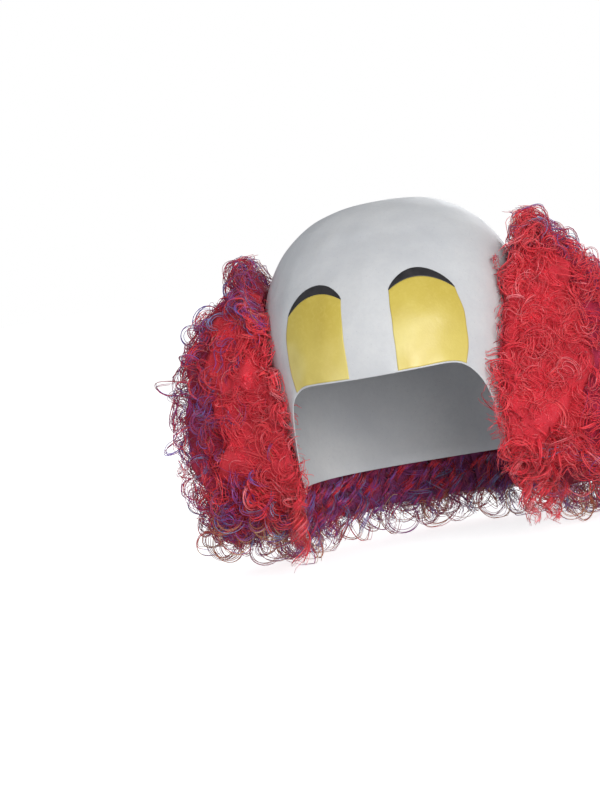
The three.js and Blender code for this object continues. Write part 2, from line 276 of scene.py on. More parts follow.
def shell_between(outer, inner):
    """A closed body between two grids of points of the same size, outer first."""
    rows, columns = outer.shape[:2]
    count = rows * columns
    top = grid_quads(rows, columns)
    right, left = np.arange(1, rows) * columns + columns - 1, np.arange(rows - 2, 0, -1) * columns
    low = (rows - 1) * columns + np.arange(columns - 2, -1, -1)
    rim = np.concatenate([np.arange(columns), right, low, left])
    after = np.roll(rim, -1)
    side = np.stack([rim, rim + count, after + count, after], -1)
    vertices = np.concatenate([outer.reshape(-1, 3), inner.reshape(-1, 3)])
    return vertices, np.concatenate([top, top[:, ::-1] + count, side])


def closed_tube(rings, start, end):
    """A closed body from rings of points, with a fan to one point at each end."""
    rows, columns = rings.shape[:2]
    vertices = np.concatenate([rings.reshape(-1, 3), [start], [end]])
    column = np.arange(columns)
    after = (column + 1) % columns
    first, last = rows * columns, (rows - 1) * columns
    start_fan = np.stack([column, after, np.full_like(column, first)], -1)
    end_fan = np.stack([last + after, last + column, np.full_like(column, first + 1)], -1)
    quads = grid_quads(rows, columns, wrap=True)[:, ::-1]
    return vertices, quads, np.concatenate([start_fan, end_fan])


def waves(points, length, seed):
    """A smooth, repeatable ripple between about -1 and 1 with roughly the given wavelength."""
    rng = np.random.default_rng(seed)
    total = 0.0
    for _ in range(WAVE_COUNT):
        direction = rng.normal(size=3)
        direction *= 2 * np.pi / (length * rng.uniform(0.7, 1.4) * np.linalg.norm(direction))
        total = total + np.sin(points @ direction + rng.uniform(0, 2 * np.pi))
    return total / math.sqrt(WAVE_COUNT) * WAVE_HEIGHT


# ---- materials

def linear(red, green, blue):
    """A shader colour from 0 to 255 display values."""
    return [((v / 255 + 0.055) / 1.055) ** 2.4 if v > 10 else v / 3295 for v in (red, green, blue)]


class Look:
    """A material whose nodes are added by short calls."""

    def __init__(self, name, roughness=0.5, specular=0.5):
        self.material = bpy.data.materials.new(name)
        self.material.use_nodes = True
        self.tree = self.material.node_tree
        self.shader = self.tree.nodes["Principled BSDF"]
        self.set("Roughness", roughness)
        self.set("Specular IOR Level", specular)

    def set(self, socket, value):
        self.shader.inputs[socket].default_value = value

    def colour(self, rgb):
        self.set("Base Color", (*rgb, 1.0))

    def node(self, kind, **settings):
        made = self.tree.nodes.new(kind)
        for key, value in settings.items():
            if hasattr(made, key):
                setattr(made, key, value)
            else:
                self.feed(value, made.inputs[key.replace("_", " ")])
        return made

    def feed(self, source, socket):
        if isinstance(source, bpy.types.NodeSocket):
            self.tree.links.new(source, socket)
        else:
            socket.default_value = source

    def place(self):
        """Object coordinates in metres."""
        return self.node("ShaderNodeTexCoord").outputs["Object"]

    def noise(self, scale, detail=3.0, roughness=0.5, distortion=0.0):
        return self.node("ShaderNodeTexNoise", Scale=scale, Detail=detail, Roughness=roughness,
                         Distortion=distortion, Vector=self.place()).outputs["Fac"]

    def ramp(self, value, *stops):
        """A colour between two stops, each a position and a colour."""
        made = self.node("ShaderNodeValToRGB", Fac=value)
        for element, (position, colour) in zip(made.color_ramp.elements, stops):
            element.position, element.color = position, (*colour, 1.0)
        return made.outputs["Color"]

    def mix(self, share, first, second):
        made = self.node("ShaderNodeMix", data_type="RGBA")
        for source, index in ((share, 0), (first, 6), (second, 7)):
            self.feed((*source, 1.0) if isinstance(source, list) else source, made.inputs[index])
        return made.outputs[2]

    def combine(self, kind, operation, first, second):
        made = self.node(kind, operation=operation)
        self.feed(first, made.inputs[0])
        self.feed(second, made.inputs["Scale" if operation == "SCALE" else 1])
        return made.outputs[0]

    def spread(self, value, low, high, new_low, new_high):
        return self.node("ShaderNodeMapRange", Value=value, From_Min=low, From_Max=high,
                         To_Min=new_low, To_Max=new_high).outputs["Result"]

    def bump(self, height, distance, strength, under=None):
        made = self.node("ShaderNodeBump", Strength=strength, Distance=distance, Height=height)
        if under is not None:
            self.feed(under, made.inputs["Normal"])
        return made.outputs["Normal"]

    def gloss(self, scale, low, high):
        """Roughness that drifts between two values."""
        return self.spread(self.noise(scale), 0.3, 0.7, low, high)

    def finish(self, colour=None, roughness=None, normal=None):
        for source, socket in ((colour, "Base Color"), (roughness, "Roughness"), (normal, "Normal")):
            if source is not None:
                self.feed(source, self.shader.inputs[socket])
        return self.material


def latex_look():
    look = Look("white latex", specular=0.42)
    look.set("Subsurface Weight", 0.12)
    look.set("Subsurface Radius", (1.0, 0.85, 0.75))
    look.set("Subsurface Scale", 2.0 * MM)
    cloudy = look.ramp(look.noise(18.0, 4.0, 0.55), (0.3, linear(191, 193, 196)),
                       (0.7, linear(208, 209, 209)))
    fine = look.noise(420.0, 2.0)
    base = look.mix(look.spread(fine, 0.4, 0.75, 0.0, 0.22), cloudy, linear(184, 185, 190))
    specks = look.node("ShaderNodeTexVoronoi", Scale=330.0, Vector=look.place())
    rare = look.spread(specks.outputs["Distance"], 0.05, 0.11, 0.5, 0.0)
    base = look.mix(rare, base, linear(160, 160, 168))
    skin = look.bump(look.noise(900.0, 2.0), 0.0003, 0.25)
    soft = look.bump(look.noise(75.0), 0.0012, 0.3, skin)
    return look.finish(base, look.gloss(60.0, 0.36, 0.5), soft)


def yellow_look():
    look = Look("yellow latex paint", specular=0.55)
    look.set("Coat Weight", 0.1)
    look.set("Coat Roughness", 0.2)
    body = look.ramp(look.noise(26.0, 4.0, 0.6, 0.6), (0.3, linear(186, 162, 58)),
                     (0.7, linear(200, 180, 78)))
    streaks = look.noise(240.0, 2.0, 0.5, 1.5)
    body = look.mix(look.spread(streaks, 0.45, 0.8, 0.0, 0.16), body, linear(230, 213, 122))
    height = look.node("ShaderNodeSeparateXYZ", Vector=look.place()).outputs["Z"]
    low = look.spread(height, -0.062, -0.104, 0.0, 0.5)
    body = look.mix(low, body, linear(228, 211, 120))
    # Soft pale patches: a painted highlight, standing for glare on the yellow paint.
    painted_glare = look.spread(look.noise(21.0, 2.0, 0.4, 0.8), 0.5, 0.72, 0.0, 0.35)
    body = look.mix(painted_glare, body, linear(240, 230, 160))
    skin = look.bump(look.noise(700.0, 2.0), 0.0003, 0.3)
    soft = look.bump(look.noise(80.0, 2.0), 0.001, 0.2, skin)
    return look.finish(body, look.gloss(90.0, 0.34, 0.52), soft)


def black_look():
    look = Look("black latex paint", specular=0.5)
    body = look.ramp(look.noise(160.0, 4.0), (0.35, linear(22, 20, 22)), (0.75, linear(44, 41, 44)))
    skin = look.bump(look.noise(700.0, 2.0), 0.0003, 0.35)
    return look.finish(body, look.gloss(90.0, 0.3, 0.5), skin)


def weft_look():
    look = Look("stitched weft tape", roughness=0.85, specular=0.2)
    threads = look.node("ShaderNodeTexWave", Scale=520.0, Distortion=2.0, bands_direction="Z",
                        Vector=look.place())
    body = look.mix(threads.outputs["Fac"], linear(92, 24, 36), linear(150, 40, 54))
    body = look.mix(look.spread(look.noise(300.0), 0.4, 0.8, 0.0, 0.5), body, linear(64, 22, 40))
    return look.finish(body, normal=look.bump(threads.outputs["Fac"], 0.0004, 0.8))


def under_look(name, dark, light, glint):
    """The dense hair under the loose curls: fine curved streaks in two tones, with patches of painted
    shade and fine painted highlights (glints).
    """
    look = Look("dense " + name.replace("_", " "), specular=0.25)
    swirl = look.node("ShaderNodeTexNoise", Scale=34.0, Detail=2.0, Vector=look.place())
    push = look.combine("ShaderNodeVectorMath", "SCALE", swirl.outputs["Color"], 0.09)
    bent = look.combine("ShaderNodeVectorMath", "ADD", look.place(), push)
    streaks = look.node("ShaderNodeTexWave", Scale=380.0, Distortion=7.0, Detail=4.0,
                        Detail_Scale=0.9, Vector=bent).outputs["Fac"]
    threads = look.node("ShaderNodeTexWave", Scale=300.0, Distortion=11.0, Detail=3.0,
                        Vector=bent).outputs["Fac"]
    fading = look.spread(look.noise(60.0, 2.0), 0.3, 0.7, 0.5, 1.0)
    blend = look.combine("ShaderNodeMath", "MULTIPLY", streaks, fading)
    body = look.ramp(blend, (0.0, linear(*dark)), (0.85, linear(*light)))
    # Patches darkened by noise: painted shade.
    shade = look.spread(look.noise(26.0, 2.0), 0.36, 0.6, 0.2, 0.0)
    body = look.mix(shade, body, linear(110, 16, 44))
    # Thin light lines from the threads wave, in the glint colour: painted highlights.
    body = look.mix(look.spread(threads, 0.72, 1.0, 0.0, 0.5), body, linear(*glint))
    rough = look.spread(look.noise(700.0, 2.0, 0.6, 1.0), 0.3, 0.7, 0.55, 0.85)
    return look.finish(body, rough, look.bump(streaks, 0.0006, 0.5))


def fibre_look(name, display):
    """One colour of the synthetic fibres: a dyed colour, or a painted shade, highlight or backlight
    tone. Each fibre is its own thin solid, so its shine is plain.
    """
    look = Look("fibre " + name, roughness=0.36, specular=0.55)
    look.colour(linear(*display))
    look.set("Sheen Weight", 0.12)
    look.set("Sheen Roughness", 0.4)
    return look.material


# Fibre colours. Most are dyes; dark red is painted shade, for roots deep in the mass and for stubs,
# pink is a painted highlight, and rust and tan are painted backlight, standing for light through thin
# red fibres.
FIBRE_DYES_AND_PAINTED_LIGHT = (
    ("painted shade red", (168, 26, 40)), ("crimson", (212, 40, 58)), ("red", (238, 54, 70)),
    ("bright red", (246, 70, 78)), ("painted highlight pink", (246, 124, 132)), ("plum", (164, 44, 92)),
    ("purple", (152, 62, 140)), ("violet", (124, 94, 178)), ("slate", (130, 142, 190)),
    ("painted backlight rust", (190, 112, 76)), ("painted backlight tan", (214, 178, 142)),
)
# For each dense hair: dark streak dye, light streak dye, and the colour of its painted highlights
# (glints).
UNDER_DYES_AND_GLINTS = {
    "red_hair": ((184, 24, 38), (232, 44, 60), (246, 112, 122)),
    "mixed_hair": ((144, 24, 50), (200, 42, 68), (196, 92, 136)),
    "violet_hair": ((96, 30, 68), (150, 52, 98), (150, 100, 164)),
}
PAINTED_SHADE_RED, CRIMSON, RED, BRIGHT, PAINTED_HIGHLIGHT_PINK, PLUM, PURPLE, VIOLET, SLATE, PAINTED_BACKLIT_RUST, PAINTED_BACKLIT_TAN = range(11)


# ---- the cap

CAP_COLUMNS, CAP_OUTER_ROWS, CAP_INNER_ROWS, CAP_RIM_ROWS = 288, 120, 56, 6
CROWN_CROWDING = 2.3
EDGE_WALL, EDGE_THINNING = 0.5, 8.0
BARE_ANGLES, BARE_DEPTHS = (56.0, 66.0), (14.0, 34.0)
PUCKER_DEPTH, CROWN_FLAT_DEPTH = 16.0, 6.0


def cap_relief(angle, depth):
    """How far the worn latex stands off its even shape: slight swells, none under the hair."""
    points = ring_point(angle, depth)
    turn = from_front(angle)
    bare = 1 - ease(turn, *BARE_ANGLES) * ease(depth, *BARE_DEPTHS)
    swells = 0.55 * waves(points, 58.0, 3) + 0.22 * waves(points, 24.0, 5)
    near_edge = ease(depth - edge_depth(angle), -PUCKER_DEPTH, 0.0)
    puckers = 0.32 * waves(points, 15.0, 11) * near_edge
    return bare * (swells + puckers) * ease(depth, 0.0, CROWN_FLAT_DEPTH)


def cap_rings():
    """Rings of points down the outside, round the edge and up the inside."""
    angle = np.arange(CAP_COLUMNS) * 360.0 / CAP_COLUMNS
    edge = edge_depth(angle)
    rings = []
    for step in range(1, CAP_OUTER_ROWS + 1):
        depth = edge * (step / CAP_OUTER_ROWS) ** CROWN_CROWDING
        rings.append(cap_point(angle, depth, cap_relief(angle, depth)))
    lip = cap_relief(angle, edge)
    for step in range(1, CAP_RIM_ROWS):
        turn = math.pi * step / CAP_RIM_ROWS
        drop, inward = 0.5 * math.sin(turn), -0.5 * (1 - math.cos(turn))
        rings.append(cap_point(angle, edge, lip + inward * EDGE_WALL) - [0, 0, drop * EDGE_WALL])
    for step in range(CAP_INNER_ROWS, 0, -1):
        depth = edge * (step / CAP_INNER_ROWS) ** CROWN_CROWDING
        wall = lerp(CAP_WALL, EDGE_WALL, ease(depth, edge - EDGE_THINNING, edge))
        rings.append(cap_point(angle, depth, cap_relief(angle, depth) - wall))
    return np.array(rings)


def make_cap():
    body = closed_tube(cap_rings(), (0, 0, CAP_WALL), (0, 0, 0.0))
    cap = add_object("latex_cap_skin", *body, [latex_look()])
    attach(cap, "root")
    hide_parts("latex_cap")


# ---- paint on the cap

PAINT_UNDERSIDE, PAINT_TOP, FILM_GAP = 0.04, 0.26, 0.06
PANEL_ROWS, PANEL_COLUMNS = 70, 60
BROW_ROWS, BROW_COLUMNS, BROW_END = 10, 120, 0.004
WOBBLE_SPAN, WOBBLE_LENGTH = 60.0, 24.0


def make_film(name, node, material, angle, depth, mirrored):
    angle, depth = np.broadcast_arrays(angle, depth)
    angle = 360.0 - angle if mirrored else angle
    relief = cap_relief(angle, depth)
    outer = cap_point(angle, depth, relief + PAINT_TOP)
    inner = cap_point(angle, depth, relief + PAINT_UNDERSIDE)
    vertices, quads = shell_between(outer, inner)
    if not mirrored:
        quads = quads[:, ::-1]
    film = add_object(name, vertices, quads, materials=[material])
    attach(film, "root")
    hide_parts(node)


def paint_wobble(share, seed, size):
    """A hand-painted edge's slight unevenness."""
    points = np.stack([share * WOBBLE_SPAN, np.full_like(share, seed), np.zeros_like(share)], -1)
    return size * waves(points, WOBBLE_LENGTH, seed)


def make_paint():
    yellow, black = yellow_look(), black_look()
    down, across = np.meshgrid(np.linspace(0, 1, PANEL_ROWS), np.linspace(0, 1, PANEL_COLUMNS),
                               indexing="ij")
    for side, mirrored, seed in (("right", False, 31), ("left", True, 47)):
        inner = PANEL_INNER_ANGLE + paint_wobble(down, seed, 0.16)
        outer = PANEL_OUTER_ANGLE + PANEL_SIDE_BULGE * np.sin(np.pi * down)
        angle = lerp(inner, outer + paint_wobble(down, seed + 1, 0.2), across)
        top = brow_depth(across, BROW_LOWER_RISE, BROW_LOWER_ROUNDNESS) + FILM_GAP
        bottom = edge_depth(angle) - PANEL_EDGE_MARGIN + paint_wobble(across, seed + 2, 0.12)
        make_film(f"{side}_eyelid_film", f"{side}_eyelid_paint", yellow,
                  angle, lerp(top, bottom, down), mirrored)
        share = np.linspace(BROW_END, 1 - BROW_END, BROW_COLUMNS)[None]
        thick = np.linspace(0, 1, BROW_ROWS)[:, None]
        upper = brow_depth(share, BROW_UPPER_RISE, BROW_UPPER_ROUNDNESS)
        lower = brow_depth(share, BROW_LOWER_RISE, BROW_LOWER_ROUNDNESS)
        make_film(f"{side}_brow_film", f"{side}_brow_paint", black,
                  lerp(PANEL_INNER_ANGLE, PANEL_OUTER_ANGLE, share), lerp(upper, lower, thick),
                  mirrored)


# ---- the weft bands

BAND_POINTS, BAND_STEP, BAND_SQUARENESS, STITCH_LENGTH = 14, 0.6, 0.6, 2.4


def weft_name(number):
    """The side and the number from the temple, as the CAD nodes are named."""
    if number < WEFTS_PER_SIDE:
        return "right", f"_{number + 1}"
    if number == WEFTS_PER_SIDE:
        return "back", ""
    return "left", f"_{WEFT_COUNT - number}"


def from_temple(number):
    return min(number, WEFT_COUNT - 1 - number)


def make_band(number, material):
    middle = number + 0.5
    top = float(hair_top(weft_angle(middle, HAIRLINE_TURN_DEPTHS[0]))) + BAND_TOP_DROP
    low = float(edge_depth(weft_angle(middle, NAPE_DEPTH))) - BAND_EDGE_MARGIN
    depth = np.linspace(top, low, int((low - top) / BAND_STEP))[:, None]
    turn = np.linspace(0, 2 * np.pi, BAND_POINTS, endpoint=False)[None]
    beat = np.sin(2 * np.pi * depth / STITCH_LENGTH)
    stitch = 1 + 0.14 * beat
    width = 0.5 * BAND_WIDTH * (1 + 0.03 * beat)
    squared = np.sign(np.cos(turn)) * np.abs(np.cos(turn)) ** BAND_SQUARENESS
    lift = BAND_GAP + 0.5 * BAND_THICKNESS * (1 + np.sin(turn) * stitch * 0.87)
    angle = weft_angle(middle, depth)
    out, along = cap_directions(angle, depth)
    points = (ring_point(angle, depth) + out * lift[..., None] + along * (width * squared)[..., None])
    side, tail = weft_name(number)
    body = closed_tube(points, points[0].mean(0), points[-1].mean(0))
    band = add_object(f"{side}_weft_tape{tail}", *body, [material])
    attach(band, "root")
    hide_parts(f"{side}_weft_band{tail}")


# ---- the curls

# Each kind of lock: how many a weft has, the fibres of a lock, the steps of a fibre, and the ranges
# to draw from, where a thickness is half of a fibre's width. A flow's radius is its length, and a
# drape's reach is its lean.
Kind = namedtuple("Kind", "locks fibres steps radius turns spread reach thickness")
Locks = namedtuple("Locks", "side share angle reach of_fibre fibres t")
RINGLETS = Kind(22, 6, 34, (5.0, 9.5), (1.6, 3.0), 2.2, (0.8, 1.0), (0.2, 0.3))
SWIRLS = Kind(82, 6, 18, (6.0, 13.0), (0.45, 1.1), 2.2, (0.84, 1.02), (0.16, 0.27))
FLOWS = Kind(58, 6, 18, (22.0, 46.0), (0.6, 1.4), 2.4, (0.86, 1.03), (0.16, 0.27))
LOOPS = Kind(64, 4, 22, (4.5, 9.0), (0.7, 1.35), 1.0, (0.92, 1.05), (0.2, 0.29))
FRIZZ = Kind(90, 1, 24, (5.0, 12.0), (0.8, 1.9), 0.0, (0.96, 1.12), (0.09, 0.14))
DRAPES = Kind(13, 7, 20, (2.5, 4.6), (1.0, 2.2), 1.2, (0.1, 0.5), (0.2, 0.32))
TUBE_SIDES, EVEN_STEPS = 3, (0.7548776662, 0.5698402910)
ROOT_OFFSET, ROOT_EDGE_MARGIN = 1.9, 9.0
SURFACE_BEND, TUCK = 160.0, (2.5, 8.0)
SIDE_SPILL = 0.04
FALL_LIMIT, FALL_LIMIT_DEPTHS, LOW_LEFT_DEPTHS = 7.0, (45.0, 75.0), (120.0, 148.0)
TOP_DIP, TOP_DIP_SPAN, TOP_ROOM = 17.0, (4.0, 22.0), 5.0
LOOSE_DROP, DENSE_DROP = 10.0, 1.0
BROW_ROOM, BROW_HOLD, TOP_HOLD, LOOSE_HOLD, LOW_HOLD = 8.0, 0.15, 0.2, 0.6, 0.3
RIGHT_RED_ANGLE = 18.0
DENSE_SHARE = 0.94
LOOP_STEP, TOP_LOOP_SHARE, LOW_LOOP_SHARE, LOOP_LEAN = 4, 0.05, 0.78, (0.0, -2.6, 0.0)
DRAPE_ENDS, DRAPE_LEAN, DRAPE_SHARE, DRAPE_DEPTH = (198.0, 216.0), 14.0, 0.95, 190.0
LOW_LIMIT = (-165.5, -99.0, -222.5)
HIGH_LIMIT = (165.5, 156.0, 1.0)


def even_share_table():
    """Shares at equal steps along the hair's outline, so that curls cover it evenly."""
    share = np.linspace(0.0, 1.0, 400)
    outline = np.stack([hair_lift(CURLS_FULLEST_ANGLE, share),
                        hair_depth(CURLS_FULLEST_ANGLE, share)], -1)
    length = np.concatenate([[0], np.cumsum(np.linalg.norm(np.diff(outline, axis=0), axis=1))])
    return length / length[-1], share


EVEN_SHARES = even_share_table()


def spread_evenly(count, rng):
    """Pairs of numbers from 0 to 1 that leave no large gaps."""
    step = np.arange(count) + rng.uniform(0, 1)
    pairs = step[:, None] * EVEN_STEPS % 1
    return np.clip(pairs + rng.normal(0, 0.02, pairs.shape), 0.0, 1.0)


def forward_fall(number, share):
    """How far the first and last wefts' curls fall forward of the hairline, in weft widths."""
    if number == 0:
        return 0.27 * ease(share, 0.3, 0.6) - 0.24 * ease(share, 0.66, 0.95)
    if number == WEFT_COUNT - 1:
        return 0.38 - 0.36 * ease(share, 0.4, 0.75)
    return SIDE_SPILL


def tufts(points):
    """Uneven fullness: broad rounded tufts with dips between them."""
    return 1.0 + 0.055 * waves(points, 58.0, 71) + 0.03 * waves(points, 27.0, 73)


def keep_in_place(points, kind):
    """Draws in the ends that stray over the bare brow, above the tufts or below the hair."""
    x, y, z = np.moveaxis(points, -1, 0)
    depth = np.maximum(CAP_WALL - z, 1.0)
    side, front, back = cap_section(depth)
    off_cap = (np.sqrt((x / side) ** 2 + (y / np.where(y < 0, front, back)) ** 2) - 1) * side
    turn = np.degrees(np.arctan2(np.abs(x) / (side + BROW_ROOM), -y / (front + BROW_ROOM)))
    low_left = (x < 0) * ease(depth, *LOW_LEFT_DEPTHS)
    allowed = lerp(0.2, 1.0, ease(depth, *FALL_LIMIT_DEPTHS)) * (1 - 0.65 * low_left)
    limit = hairline_angle(depth) - FALL_LIMIT * allowed
    held = limit - (limit - turn) * BROW_HOLD
    x, y = (np.where(turn < limit, place * wave(np.radians(held))
                     / np.maximum(wave(np.radians(turn)), 0.2), place)
            for place, wave in ((x, np.sin), (y, np.cos)))
    loose = kind in (LOOPS, FRIZZ)
    dip = TOP_DIP * hair_fullness(turn) * (1 - ease(off_cap, *TOP_DIP_SPAN))
    ceiling = CAP_WALL - hair_top(turn) + np.where(dip > 1.0, 0.0, TOP_ROOM) - dip
    kept = np.where(dip > 1.0, TOP_HOLD, LOOSE_HOLD if loose else TOP_HOLD)
    z = np.where(z > ceiling, ceiling + (z - ceiling) * kept, z)
    lowest = CAP_WALL - hair_bottom(turn) - (LOOSE_DROP if loose else DENSE_DROP)
    z = np.where(z < lowest, lowest + (z - lowest) * LOW_HOLD, z)
    return np.clip(np.stack([x, y, z], -1), LOW_LIMIT, HIGH_LIMIT)


def gather(kind, side, share, angle, reach):
    """The places of some locks, with the lock of each fibre and the steps along it."""
    of_fibre = np.repeat(np.arange(kind.locks), kind.fibres)
    t = np.linspace(0, 1, kind.steps + 1)[None]
    return Locks(side, share, angle, reach, of_fibre, len(of_fibre), t)


def lock_places(number, kind, rng):
    """Where each lock shows on the hair's rounded surface."""
    pairs = spread_evenly(kind.locks, rng)
    share = np.interp(pairs[:, 1], *EVEN_SHARES)
    if kind in (RINGLETS, SWIRLS, FLOWS):
        share = share * DENSE_SHARE
    if kind is LOOPS:
        turn_of = np.arange(kind.locks) % LOOP_STEP
        share = np.where(turn_of == 0, share * TOP_LOOP_SHARE, share)
        at_bottom = (turn_of == 1) & (from_temple(number) < RED_WEFTS_PER_SIDE)
        share = np.where(at_bottom, lerp(LOW_LOOP_SHARE, 1.0, share), share)
    fall = forward_fall(number, share)
    low = -fall if number < WEFTS_PER_SIDE else -SIDE_SPILL
    high = 1 + (fall if number > WEFTS_PER_SIDE else SIDE_SPILL)
    side = lerp(low, high, pairs[:, 0])
    rough_angle = weft_angle(number + side, MIDDLE_DEPTH)
    angle = weft_angle(number + side, hair_depth(rough_angle, share))
    reach = rng.uniform(*kind.reach, kind.locks) * tufts(hair_point(angle, share))
    if kind in (LOOPS, FRIZZ):
        reach = reach * (1 + 0.14 * ease(share, 0.82, 0.95))
    return gather(kind, side, share, angle, reach)


def lock_axes(number, kind, rng, locks):
    """Where each lock starts and ends, and which way it leaves the cap and the hair's surface."""
    share, angle = locks.share, locks.angle
    hidden = (rng.uniform(0, 1, kind.locks) < 0.5) * ease(share, 0.72, 0.84)
    reach = locks.reach * lerp(1.0, rng.uniform(0.15, 0.8, kind.locks), hidden)
    tip = hair_point(angle, share, reach)
    tilt = rng.normal(0, 0.42, (kind.locks, 3))
    tip_way = unit(hair_out(angle, share) + tilt)
    root_side = 0.5 + (locks.side - 0.5) * 0.3
    root_share = 0.1 + 0.64 * share + rng.normal(0, 0.015, kind.locks)
    root_angle = weft_angle(number + root_side, hair_depth(angle, root_share))
    root_depth = np.minimum(hair_depth(root_angle, root_share),
                            edge_depth(root_angle) - ROOT_EDGE_MARGIN)
    root = cap_point(root_angle, root_depth, np.full(kind.locks, ROOT_OFFSET))
    root_way, _ = cap_directions(root_angle, root_depth)
    return root, root_way, tip, tip_way, hair_lift(angle, share) * reach


def fibre_paths(number, kind, rng):
    """Locks that leave the weft and wind into growing rings."""
    locks = lock_places(number, kind, rng)
    root, root_way, tip, tip_way, room = lock_axes(number, kind, rng, locks)
    span = np.linalg.norm(tip - root, axis=-1, keepdims=True)
    bend_out = root + root_way * span * 0.42
    bend_in = tip - tip_way * span * 0.34
    upright = unit(np.cross(bend_out - root, tip - root) + rng.normal(0, 0.15, root.shape))
    radius = np.minimum(rng.uniform(*kind.radius, kind.locks), 0.72 * room)
    turns = rng.uniform(*kind.turns, kind.locks)
    phase = rng.uniform(0, 2 * np.pi, kind.locks)
    hand = rng.choice([-1.0, 1.0], kind.locks)

    lock, many = locks.of_fibre, locks.fibres
    along = locks.t ** 0.8 * rng.uniform(0.86, 1.0, many)[:, None]
    t = along[..., None]
    a, b, c, d = (p[lock][:, None] for p in (root, bend_out, bend_in, tip))
    axis = a * (1 - t) ** 3 + 3 * b * t * (1 - t) ** 2 + 3 * c * t * t * (1 - t) + d * t ** 3
    heading = unit((b - a) * (1 - t) ** 2 + 2 * (c - b) * t * (1 - t) + (d - c) * t * t)
    first = upright[lock][:, None]
    first = unit(first - dot(first, heading) * heading)
    second = np.cross(heading, first)
    wound = phase[lock] + rng.normal(0, 0.24, many)
    swing = wound[:, None] + (hand * turns)[lock][:, None] * 2 * np.pi * along ** 1.5
    width = radius[lock] + rng.normal(0, 0.45, many) * kind.spread
    width = np.maximum(width, 1.2)[:, None] * ease(along, 0.03, 0.5)
    width = width * (1 - 0.3 * ease(along, 0.84, 1.0))
    ray = first * np.cos(swing)[..., None] + second * np.sin(swing)[..., None]
    stray = rng.normal(0, 0.5, (many, 1, 3)) * kind.spread * ease(t, 0.0, 0.4)
    start = rng.normal(0, 0.55, (many, 1, 3)) * (1 - ease(t, 0.0, 0.2))
    points = keep_in_place(axis + ray * width[..., None] + stray + start, kind)
    thick = rng.uniform(*kind.thickness, many)[:, None] * (1 - 0.45 * along ** 2)
    return (points, ray, thick), locks


def lock_planes(kind, rng, locks):
    """The middle of each lock, the way out of the hair, and the plane that the lock is drawn on."""
    out = hair_out(locks.angle, locks.share)
    if kind is LOOPS:
        sideways = rng.normal(0, 1, out.shape) + LOOP_LEAN
        facing = unit(unit(sideways - dot(sideways, out) * out) + 0.25 * out)
    else:
        facing = unit(out + rng.normal(0, 0.22 if kind is FLOWS else 0.3, out.shape))
    level = unit(np.cross(facing, rng.normal(0, 1, out.shape)))
    centre = hair_point(locks.angle, locks.share, locks.reach)
    return centre, out, facing, level, np.cross(facing, level)


def flat_paths(number, kind, rng):
    """Locks that lie along the surface as part of a ring, both ends tucked into the mass."""
    locks = lock_places(number, kind, rng)
    share, angle = locks.share, locks.angle
    planes = lock_planes(kind, rng, locks)
    radius = rng.uniform(*kind.radius, kind.locks)
    radius = np.minimum(radius, 3.0 + 0.8 * hair_lift(angle, share))
    if kind is LOOPS:
        open_out = 0.3 * ease(from_front(angle), 66.0, 80.0)
        open_out = open_out + 0.1 * (1 - ease(share, 0.02, 0.06))
        radius = radius * (1 + open_out + 0.4 * ease(share, 0.8, 0.95))
    turns = rng.uniform(*kind.turns, kind.locks)
    middle = rng.uniform(0, 2 * np.pi, kind.locks)
    hand = rng.choice([-1.0, 1.0], kind.locks)
    squash = rng.uniform(0.5, 1.0, kind.locks)
    drift = rng.uniform(-0.7, 1.1, kind.locks)

    lock, many, t = locks.of_fibre, locks.fibres, locks.t
    place = np.tile(np.linspace(0, 1, kind.fibres), kind.locks)
    half = (np.pi * turns * hand)[lock] * rng.uniform(0.65, 1.15, many)
    swing = middle[lock][:, None] + half[:, None] * (2 * t - 1)
    swing = swing + rng.normal(0, 0.12 * kind.spread, (many, 1))
    inner = 0.5 if kind is SWIRLS else 0.82
    width = radius[lock] * lerp(inner, 1.0, place) + rng.normal(0, 0.4, many) * kind.spread
    width = width[:, None] * (1 + drift[lock][:, None] * (t - 0.5))
    shift = rng.normal(0, 0.45 * kind.spread, (2, many, 1))
    across = width * np.cos(swing) + shift[0]
    along = width * np.sin(swing) * squash[lock][:, None] + shift[1]
    return laid_paths(kind, rng, locks, planes, across, along)


def laid_paths(kind, rng, locks, planes, across, along):
    """Puts curves drawn on each lock's plane into place, with both ends tucked in."""
    centre, out, facing, level, rising = planes
    lock, many, t = locks.of_fibre, locks.fibres, locks.t
    tuck = rng.uniform(*TUCK, (many, 1))
    lower = tuck * (1 - ease(t, 0.0, 0.24) + ease(t, 0.76, 1.0))
    if kind is not LOOPS:
        lower = lower + (across ** 2 + along ** 2) / SURFACE_BEND
    wave = 0.5 * np.sin(t * 9 + rng.uniform(0, 6.3, (many, 1))) + rng.normal(
        0, 0.5, (many, 1)) * kind.spread
    points = (centre[lock][:, None] + level[lock][:, None] * across[..., None]
              + rising[lock][:, None] * along[..., None] + facing[lock][:, None] * wave[..., None])
    points = keep_in_place(points - out[lock][:, None] * lower[..., None], kind)
    ray = np.broadcast_to(facing[lock][:, None], points.shape)
    thick = rng.uniform(*kind.thickness, many)[:, None] * (1 - 0.3 * np.abs(2 * t - 1) ** 3)
    return (points, ray, thick), locks


